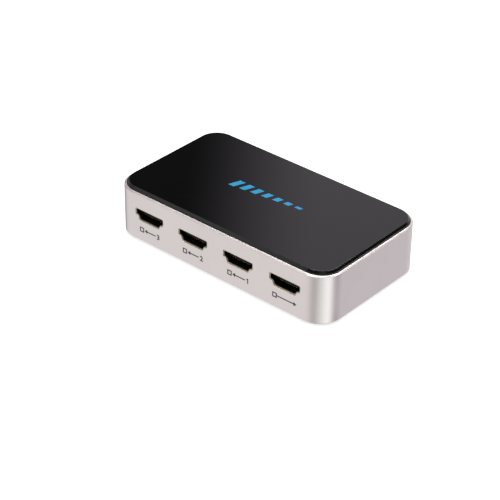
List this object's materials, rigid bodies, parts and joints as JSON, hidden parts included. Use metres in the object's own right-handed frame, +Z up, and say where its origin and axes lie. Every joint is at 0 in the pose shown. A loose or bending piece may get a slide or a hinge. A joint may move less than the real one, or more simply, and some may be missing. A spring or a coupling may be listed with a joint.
{
  "type": "hdmi switch box",
  "caption": "Flat box with rounded corners that passes one of its video inputs to one output, chosen by a push button or by remote.",
  "frame": {"origin": "middle of the plane that the feet stand on", "axes": "+Z up, X along the long side, the receptacles open towards -Y, button and lights in the +Y face"},
  "size_m": [0.106, 0.0599, 0.023],
  "materials": {
    "housing_metal": "satin",
    "plate_gloss": "polished",
    "tape_film": "matte",
    "cover_plastic": "fine spark texture",
    "screw_steel": "zinc plated",
    "foot_rubber": "matte",
    "board_laminate": "solder mask",
    "receptacle_metal": "plated sheet",
    "receptacle_plastic": "moulded",
    "contact_gold": "gold flash",
    "chip_plastic": "moulded",
    "lead_tin": "tinned",
    "can_aluminium": "drawn",
    "ferrite": "sintered",
    "ceramic": "fired",
    "window_plastic": "polished, dark red",
    "receiver_resin": "moulded",
    "guide_acrylic": "clear",
    "led_resin": "clear resin",
    "button_plastic": "satin",
    "switch_plastic": "moulded",
    "jack_plastic": "moulded"
  },
  "bodies": {
    "box": {"base_cover": "cover_plastic", "base_screws": "screw_steel", "board_screws": "screw_steel", "capacitor_bases": "switch_plastic", "channel_leds": "led_resin", "chip_capacitors": "ceramic", "chip_resistors": "chip_plastic", "circuit_board": "board_laminate", "controller_chip": "chip_plastic", "controller_chip_leads": "lead_tin", "crystal": "can_aluminium", "esd_arrays": "chip_plastic", "foot_back_left": "foot_rubber", "foot_back_right": "foot_rubber", "foot_front_left": "foot_rubber", "foot_front_right": "foot_rubber", "housing_shell": "housing_metal", "infrared_receiver": "receiver_resin", "infrared_receiver_leads": "lead_tin", "infrared_window": "window_plastic", "input_1_contacts": "contact_gold", "input_1_insulator": "receptacle_plastic", "input_1_shell": "receptacle_metal", "input_2_contacts": "contact_gold", "input_2_insulator": "receptacle_plastic", "input_2_shell": "receptacle_metal", "input_3_contacts": "contact_gold", "input_3_insulator": "receptacle_plastic", "input_3_shell": "receptacle_metal", "light_guide": "guide_acrylic", "output_contacts": "contact_gold", "output_insulator": "receptacle_plastic", "output_shell": "receptacle_metal", "plate_tape": "tape_film", "power_inductor": "ferrite", "power_jack_body": "jack_plastic", "power_jack_pin": "lead_tin", "power_jack_spring": "lead_tin", "power_led": "led_resin", "regulator_leads": "lead_tin", "smoothing_capacitors": "can_aluminium", "switch_body": "switch_plastic", "switch_chip": "chip_plastic", "switch_chip_leads": "lead_tin", "switch_dome": "screw_steel", "switch_frame": "screw_steel", "switch_terminals": "lead_tin", "top_plate": "plate_gloss", "voltage_regulator": "chip_plastic"},
    "button": {"select_button": "button_plastic"},
    "plunger": {"switch_plunger": "switch_plastic"}
  },
  "joints": [
    {"name": "select_press", "type": "slide", "parent": "box", "child": "button", "axis": [0, -1, 0], "range_m": [0, 0.0004], "stiffness_N_per_m": 300},
    {"name": "plunger_press", "type": "slide", "parent": "box", "child": "plunger", "axis": [0, -1, 0], "range_m": [0, 0.0004], "deforming": ["switch_dome"]}
  ],
  "couplings": [
    {"joint": "plunger_press", "follows": "select_press", "ratio": 1}
  ]
}
